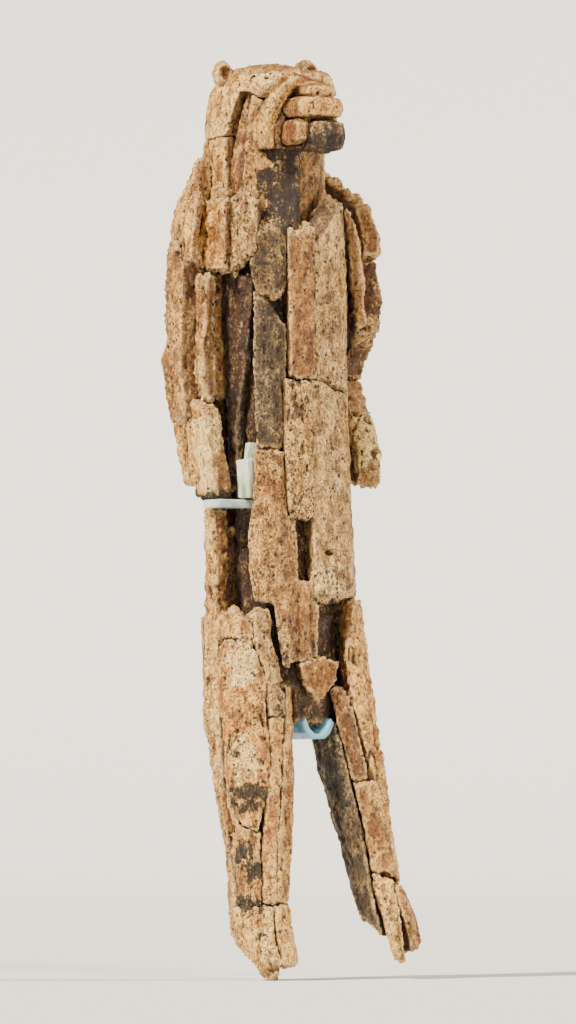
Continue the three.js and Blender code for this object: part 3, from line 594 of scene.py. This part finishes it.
LOOKS = {
    "nose_pad": {**FACE, "tone": "gold"},
    "upper_lip": {
        **FACE,
        "tone": "gold",
        "stain": 1.0,
        "dark": (((0.22, 0.2, 0.4), (1.4, 3, 6), 0.6),),
    },
    "jaw_front": {
        **FACE,
        "tone": "brown",
        # Painted shadow on the lower half of the jaw's front, where it turns under.
        "dark": (((0.5, 0.05, 0.2), (10, 4, 4.4), 1.1), ((0.5, 0.0, 0.4), (12, 4, 6), 0.5)),
        "dark_tone": "49403c",
    },
    "jaw_side": {**FACE, "tone": "gold", "stain": 1.2},
    "cheek_band": {**FACE, "tone": "cream", "rough": 0.5, "specks": 0.8},
    "nose_bridge": {**FACE, "tone": "gold"},
    "mane_strip": {"tone": "brown", "cracks": 1.5, "pits": 0.2, "rough": 0.5, "rim": 0.2},
    "head_crown": {
        "tone": "cream",
        "stain": 0.3,
        "torn": 0.1,
        "rough": 0.5,
        "chips": 0.4,
        "creases": 0.3,
        "faces": 0.7,
        "voxel": 0.5,
        "dents": (
            ((0.18, 0.09, 0.68), (1.1, 1.1, 0.8), 0.9),
            ((0.82, 0.09, 0.68), (1.1, 1.1, 0.8), 0.9),
        ),
        # Painted highlight on the bulge of each eye, around the pupil dents.
        "pale": (((0.17, 0.1, 0.66), (6, 6, 4), 1.0), ((0.83, 0.1, 0.66), (6, 6, 4), 1.0)),
    },
    "throat_right": {
        "tone": "beige",
        "specks": 1.0,
        "rough": 0.45,
        "torn": 0.4,
        # Painted shadow under the jaw: the throat is darkened where shade falls.
        "dark": (((0.72, 0.08, 0.34), (10, 10, 19), 1.6), ((0.78, 0.1, 0.64), (12, 8, 8), 1.3)),
        "dark_tone": "35201a",
    },
    "throat_left": {"tone": "brown", "specks": 0.9, "torn": 0.4, "voxel": 0.8},
    "mane_right": {"tone": "cream", "pits": 1.0, "torn": 0.5},
    "mane_left": {**HIDDEN, "tone": "cream"},
    "muzzle_core": {
        "tone": "brown",
        "rim": 0.1,
        "torn": 0,
        "chips": 0.4,
        "dark": (((0.5, 0, 0), (20, 20, 4), 0.7),),
    },
    "chest_left": {
        **PANEL,
        "tone": "grey",
        "specks": 0.8,
        "dents": arc(0.0, 0.97, 0.41, 0.49),
    },
    "chest_middle": {"tone": "russet", "grain": 0.5, "specks": 0.8, "rough": 0.4},
    "belly_middle": {**PANEL, "tone": "cream", "specks": 3.2, "pits": 0.8},
    "belly_left": {
        **PANEL,
        "tone": "grey",
        "specks": 1.1,
        "pits": 0.3,
        "dents": (((0.32, 0.12, 0.24), (1.9, 2.4, 1.3), 1.3),),
        "pale": (((0.35, 0.1, 0.205), (1.7, 2, 1.8), 1.0), ((0.3, 0.1, 0.13), (7, 8, 6), 0.5)),
        "dark": (((0.5, 0.5, 0.0), (60, 60, 2.8), 1.3),),
        "dark_tone": CHAR,
    },
    "chest_right_chip": {"tone": "olive", "specks": 2.6, "torn": 1.3, "rough": 0.5},
    "flank_right": {
        "tone": "ash",
        "specks": 0.8,
        "rough": 0.4,
        # Painted shadow in the recess under the chest chip, at the top right.
        "dark": (((0.75, 0.2, 0.92), (6, 6, 7), 1.0),),
    },
    "abdomen_right": {
        "tone": "beige",
        "specks": 1.5,
        "stain": 0.5,
        "rough": 0.35,
        "pale": (((0.45, 0.2, 0.1), (5, 8, 13), 0.4),),
    },
    "pubic_plate": {"tone": "russet", "torn": 1.2, "stain": 0.3},
    "shoulder_tab_inner": {"tone": "grey", "specks": 1.2, "torn": 1.4, "rough": 0.9},
    "shoulder_tab_outer": {**SLAT, "tone": "gold", "torn": 1.4},
    "side_lamella_right": {**SLAT, "tone": "cream", "torn": 1.4},
    "inner_lamella_right": {"tone": "dark", "rough": 1.0, "rim": 0.15},
    "shoulder_right_front": {**SLAT, "tone": "gold"},
    "shoulder_right_outer": {**SLAT, "tone": "gold"},
    "upper_arm_right": {**SLAT, "tone": "beige", "rough": 1.5},
    "arm_right_front_slat": {**SLAT, "tone": "beige"},
    "forearm_right_front": {
        "tone": "cream",
        "stain": 0.15,
        "mottle": 0.7,
        "rough": 0.8,
        # The pale zones are painted light on the side that faces the key light.
        "pale": (((0.2, 0.3, 0.27), (6, 6, 6), 0.9), ((0.3, 0.3, 0.65), (7, 8, 12), 0.8)),
        "dark": (((0.5, 0.5, 0.0), (14, 16, 4.0), 1.3),),
        "dark_tone": CHAR,
    },
    "forearm_right_back": {**SLAT, "tone": "gold", "stain": 1.0},
    "shoulder_left": {**SLAT, "tone": "gold"},
    "arm_left_slat": {**SLAT, "tone": "cream", "chips": 0.5},
    "upper_arm_left": {**SLAT, "tone": "russet", "grain": 1.4, "rim": 0.4},
    "forearm_left": {
        **SLAT,
        "tone": "cream",
        "stain": 0.5,
        "pale": (((0.3, 0.2, 0.5), (12, 10, 22), 0.8),),
    },
    "thigh_right_cap": {"tone": "cream", "torn": 1.2, "rough": 1.0, "pits": 1.0},
    "thigh_right_front": {
        "tone": "gold",
        "specks": 0.9,
        "pits": 1.0,
        "rough": 0.6,
        "pale": (((0.35, 0.5, 0.88), (6, 8, 10), 0.9), ((0.2, 0.3, 0.42), (5, 6, 12), 0.6)),
        "dark": (
            ((0.16, 0.2, 0.2), (5, 9, 4), 0.8),
            ((0.36, 0.2, 0.13), (6, 9, 3.5), 0.8),
            ((0.62, 0.2, 0.19), (5, 9, 4), 0.8),
            ((0.06, 0.4, 0.45), (3, 5, 12), 0.6),
        ),
        "dark_tone": CHAR,
    },
    "thigh_right_inner": {"tone": "grey", "rough": 0.8, "pits": 1.0, "specks": 0.9},
    "leg_right_outer_slat": {**SLAT, "tone": "cream"},
    "calf_right_middle": {"tone": "gold", "cracks": 1.0},
    "calf_right_inner": {"tone": "beige"},
    "shin_right_front": {
        "tone": "beige",
        "pits": 1.0,
        "rough": 0.9,
        "dark": (
            ((0.14, 0.4, 0.55), (2.4, 8, 4), 0.9),
            ((0.4, 0.4, 0.42), (3.4, 8, 5), 1.0),
            ((0.3, 0.5, 0.04), (8, 9, 3.5), 1.0),
        ),
        "dark_tone": CHAR,
    },
    "foot_right_main": {
        "tone": "cream",
        "swell": 0.3,
        "torn": 0.7,
        "specks": 0.8,
        "dark": (((0.08, 0.54, 0.97), (5, 6, 3), 1.0), ((0.3, 0.25, 0.56), (2.6, 3, 1.6), 0.8)),
        "dark_tone": CHAR,
    },
    "foot_right_toe": {"tone": "cream", "torn": 0.7, "swell": 0.35},
    "leg_right_back": {**HIDDEN, "tone": "beige"},
    "leg_left_inner_slat": {
        "tone": "ash",
        "rough": 0.5,
        "specks": 0.3,
        # Painted bluish shade and reflected light along the slat's low-x side.
        "dark": (((0.0, 0.5, 0.5), (6, 30, 60), 0.7),),
        "dark_tone": BLUISH_SHADE,
    },
    "thigh_left_middle": {"tone": "brown", "rough": 0.5},
    "shin_left_middle": {"tone": "beige", "rough": 0.5},
    "leg_left_outer_slat": {**SLAT, "tone": "gold"},
    "foot_left_main": {"tone": "cream", "torn": 0.7},
    "foot_left_outer": {"tone": "beige", "torn": 0.7},
    "leg_left_back": {**HIDDEN, "tone": "brown"},
    "back_right": {**HIDDEN, "tone": "beige"},
    "back_left": {**HIDDEN, "tone": "cream"},
    "flank_left": {**HIDDEN, "tone": "beige"},
    "hip_back": {**HIDDEN, "tone": "beige"},
    "torso_core": {"tone": "dark", "voxel": 1.2, "faces": 0.7, "rough": 1.0, "rim": 0.1},
}


def dress(piece, node, material):
    """Puts a finished piece in the place of its CAD node."""
    piece.data.materials.clear()
    piece.data.materials.append(material)
    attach(piece, "root")
    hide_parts(node)


def dress_fragments():
    for seed, (node, own) in enumerate(LOOKS.items()):
        look = {**PLAIN, **own}
        voxel = look["voxel"] * 1
        piece = weathered(node, voxel, seed * 31, look)
        dress(piece, node, ivory(node, seed, look))


# ---------------------------------------------------------------- supports

SUPPORT_VOXEL = 0.4
SUPPORT_ROUNDS = 3
SUPPORT_FACES = 0.6


def softened(node):
    """A support with its CAD edges rounded a little."""
    piece = remeshed(node, SUPPORT_VOXEL)
    surface = Surface(piece)
    surface.points = surface.smooth(surface.points, SUPPORT_ROUNDS)
    surface.store()
    finish_mesh(piece, SUPPORT_FACES)
    return piece


def clear_sheet(name, light, deep):
    """Clear acrylic, faintly tinted, with fine rubbing marks."""
    s = Shader(name)
    scratch = s.noise(400, 3, (1, 0.1, 1), 3)
    cloud = s.noise(120, 5)
    tint = s.mix(s.range(cloud, 0.4, 0.65), shade(light), shade(deep))
    s.feed(s.surface.inputs["Base Color"], tint)
    s.feed(s.surface.inputs["Roughness"], s.range(scratch, 0.4, 0.7, 0.06, 0.3))
    s.surface.inputs["Transmission Weight"].default_value = 0.35
    s.surface.inputs["IOR"].default_value = 1.49
    return s.material


def frosted_block():
    """Frosted white-green block, cloudy inside, with brushed faces."""
    s = Shader("frosted_block")
    cloud = s.noise(160, 8, (1, 1, 0.5), 4)
    brushed = s.noise(520, 9, (1, 1, 0.12), 4)
    tint = s.mix(s.range(cloud, 0.35, 0.65), shade("fdfdf2"), shade("c6d6b6"))
    tint = s.mix(s.range(brushed, 0.52, 0.62), tint, shade("8fa98c"))
    s.feed(s.surface.inputs["Base Color"], tint)
    s.feed(s.surface.inputs["Roughness"], s.range(brushed, 0.35, 0.65, 0.3, 0.55))
    s.feed(s.surface.inputs["Normal"], s.bump(brushed, 0.6))
    s.surface.inputs["Transmission Weight"].default_value = 0.25
    return s.material


def dress_supports():
    for node, material in (
        ("crotch_saddle", clear_sheet("blue_clear_sheet", "93cfec", "3f8fc4")),
        ("forearm_shelf", clear_sheet("pale_clear_sheet", "e8f4ef", "a9c8cf")),
        ("hand_block", frosted_block()),
    ):
        dress(softened(node), node, material)


dress_fragments()
dress_supports()

# ---------------------------------------------------------------- floor, light and camera

# Degrees round from the figure's front and up from level, then metres, then mm.
CAMERA_TURN = -35.0
CAMERA_RISE = -2.5
CAMERA_AWAY = 2.52
CAMERA_LENS = 262.6
CAMERA_SENSOR = 36

# In metres: flat out to FLOOR_FLAT, then up on a bend of radius FLOOR_BEND, in rings that many
# degrees apart.
FLOOR_FLAT = 4.8
FLOOR_BEND = 2.6
FLOOR_SIDES = 72
FLOOR_RINGS = 16
FLOOR_RING_ANGLE = 5.4

WORLD_STRENGTH = 0.17

low, high = (Vector(corner) for corner in CAD_BOX)
middle = (low + high) / 2


def toward(turn, rise):
    """The direction from the figure to a place that many degrees round from its front and up."""
    a, e = math.radians(turn), math.radians(rise)
    return Vector((math.sin(a) * math.cos(e), -math.cos(a) * math.cos(e), math.sin(e)))


def aimed(thing, place, target):
    thing.location = place
    thing.rotation_euler = (target - place).to_track_quat("-Z", "Y").to_euler()
    bpy.context.scene.collection.objects.link(thing)


def add_camera():
    camera = bpy.data.cameras.new("camera")
    camera.lens = CAMERA_LENS
    camera.sensor_width = CAMERA_SENSOR
    target = middle + Vector((0, 0, MM))
    thing = bpy.data.objects.new("camera", camera)
    aimed(thing, target + toward(CAMERA_TURN, CAMERA_RISE) * CAMERA_AWAY, target)
    bpy.context.scene.camera = thing


def pale_floor():
    """A round pale floor that curves up far away on every side."""
    rings = [(0.6, 0.0), (2.0, 0.0)]
    for k in range(FLOOR_RINGS):
        angle = math.radians(FLOOR_RING_ANGLE * k)
        radius = FLOOR_FLAT + FLOOR_BEND * math.sin(angle)
        rings.append((radius, FLOOR_BEND - FLOOR_BEND * math.cos(angle)))
    points = [(0.0, 0.0, 0.0)]
    for radius, up in rings:
        for k in range(FLOOR_SIDES):
            angle = 2 * math.pi * k / FLOOR_SIDES
            points.append((radius * math.cos(angle), radius * math.sin(angle), up))
    faces = [(0, 1 + k, 1 + (k + 1) % FLOOR_SIDES) for k in range(FLOOR_SIDES)]
    for ring in range(len(rings) - 1):
        first = 1 + ring * FLOOR_SIDES
        next_first = first + FLOOR_SIDES
        for k in range(FLOOR_SIDES):
            after = (k + 1) % FLOOR_SIDES
            faces.append((first + k, next_first + k, next_first + after, first + after))
    mesh = bpy.data.meshes.new("floor")
    mesh.from_pydata(points, [], faces)
    mesh.polygons.foreach_set("use_smooth", [True] * len(mesh.polygons))
    floor = bpy.data.objects.new("floor", mesh)
    bpy.context.scene.collection.objects.link(floor)
    material = bpy.data.materials.new("pale_floor")
    material.use_nodes = True
    paint = material.node_tree.nodes["Principled BSDF"]
    paint.inputs["Base Color"].default_value = (0.7, 0.71, 0.73, 1)
    paint.inputs["Roughness"].default_value = 1.0
    paint.inputs["Specular IOR Level"].default_value = 0.0
    mesh.materials.append(material)


def add_light(name, turn, rise, strength, softness, warmth):
    lamp = bpy.data.lights.new(name, "SUN")
    lamp.angle = math.radians(softness)
    lamp.energy = strength
    lamp.color = warmth
    aimed(bpy.data.objects.new(name, lamp), middle + toward(turn, rise), middle)


pale_floor()
add_camera()
add_light("key", -82, 46, 8.4, 5, (1.0, 0.89, 0.72))
add_light("front", -14, 38, 1.6, 12, (1.0, 0.91, 0.78))
add_light("rim", 60, 40, 3.4, 9, (1.0, 0.87, 0.67))

world = bpy.data.worlds.new("studio")
world.use_nodes = True
world.node_tree.nodes["Background"].inputs["Color"].default_value = (1.0, 0.97, 0.94, 1)
world.node_tree.nodes["Background"].inputs["Strength"].default_value = WORLD_STRENGTH
bpy.context.scene.world = world
